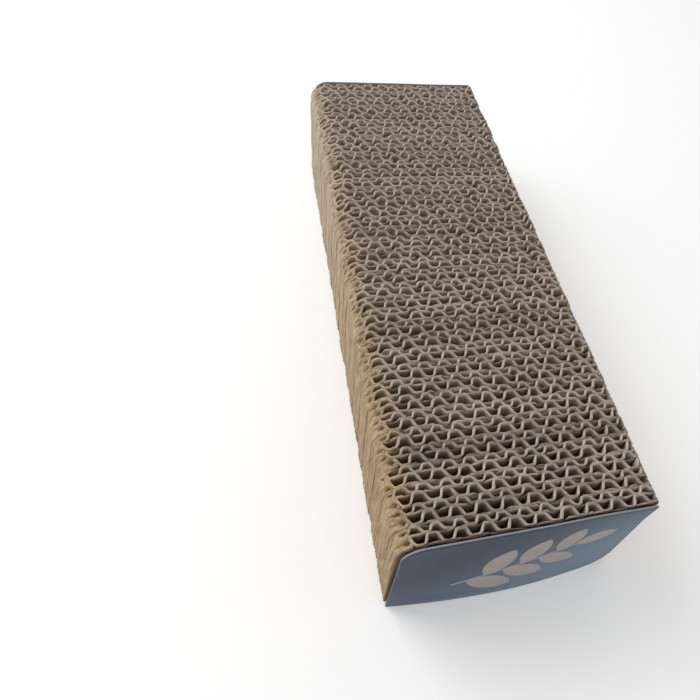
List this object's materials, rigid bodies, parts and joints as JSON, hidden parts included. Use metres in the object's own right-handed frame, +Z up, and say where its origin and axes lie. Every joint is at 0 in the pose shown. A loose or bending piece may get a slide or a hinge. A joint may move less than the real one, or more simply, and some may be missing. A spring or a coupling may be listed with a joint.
{
  "type": "cardboard cat scratcher",
  "caption": "Straight cat scratching bar of upright double-wall corrugated sheets glued face to face, with one rounded upper edge and a printed cover card on each end.",
  "frame": {"origin": "middle of the resting face, at the centre of the bar's width and length", "axes": "+X across the bar to the right seen from the front card, +Y along the bar from the front card to the rear card, +Z up"},
  "size_m": [0.0784, 0.2232, 0.046],
  "materials": {
    "corrugated_board": "matte",
    "cover_card": "matte",
    "hot_melt": "matte"
  },
  "bodies": {
    "root": {"front_card": "cover_card", "front_glue": "hot_melt", "sheet_01": "corrugated_board", "sheet_02": "corrugated_board", "sheet_03": "corrugated_board", "sheet_04": "corrugated_board", "sheet_05": "corrugated_board", "sheet_06": "corrugated_board", "sheet_07": "corrugated_board", "sheet_08": "corrugated_board", "sheet_09": "corrugated_board", "sheet_10": "corrugated_board", "sheet_11": "corrugated_board", "sheet_12": "corrugated_board", "sheet_13": "corrugated_board", "sheet_14": "corrugated_board", "sheet_15": "corrugated_board", "sheet_16": "corrugated_board", "sheet_17": "corrugated_board", "sheet_18": "corrugated_board", "sheet_19": "corrugated_board", "sheet_20": "corrugated_board", "sheet_21": "corrugated_board", "sheet_22": "corrugated_board", "sheet_23": "corrugated_board", "sheet_24": "corrugated_board", "sheet_25": "corrugated_board", "sheet_26": "corrugated_board", "sheet_27": "corrugated_board", "sheet_28": "corrugated_board", "sheet_29": "corrugated_board", "sheet_30": "corrugated_board", "sheet_31": "corrugated_board", "sheet_32": "corrugated_board", "sheet_33": "corrugated_board", "sheet_34": "corrugated_board", "sheet_35": "corrugated_board", "sheet_36": "corrugated_board", "sheet_37": "corrugated_board", "sheet_38": "corrugated_board", "rear_glue": "hot_melt", "rear_card": "cover_card"}
  },
  "joints": []
}
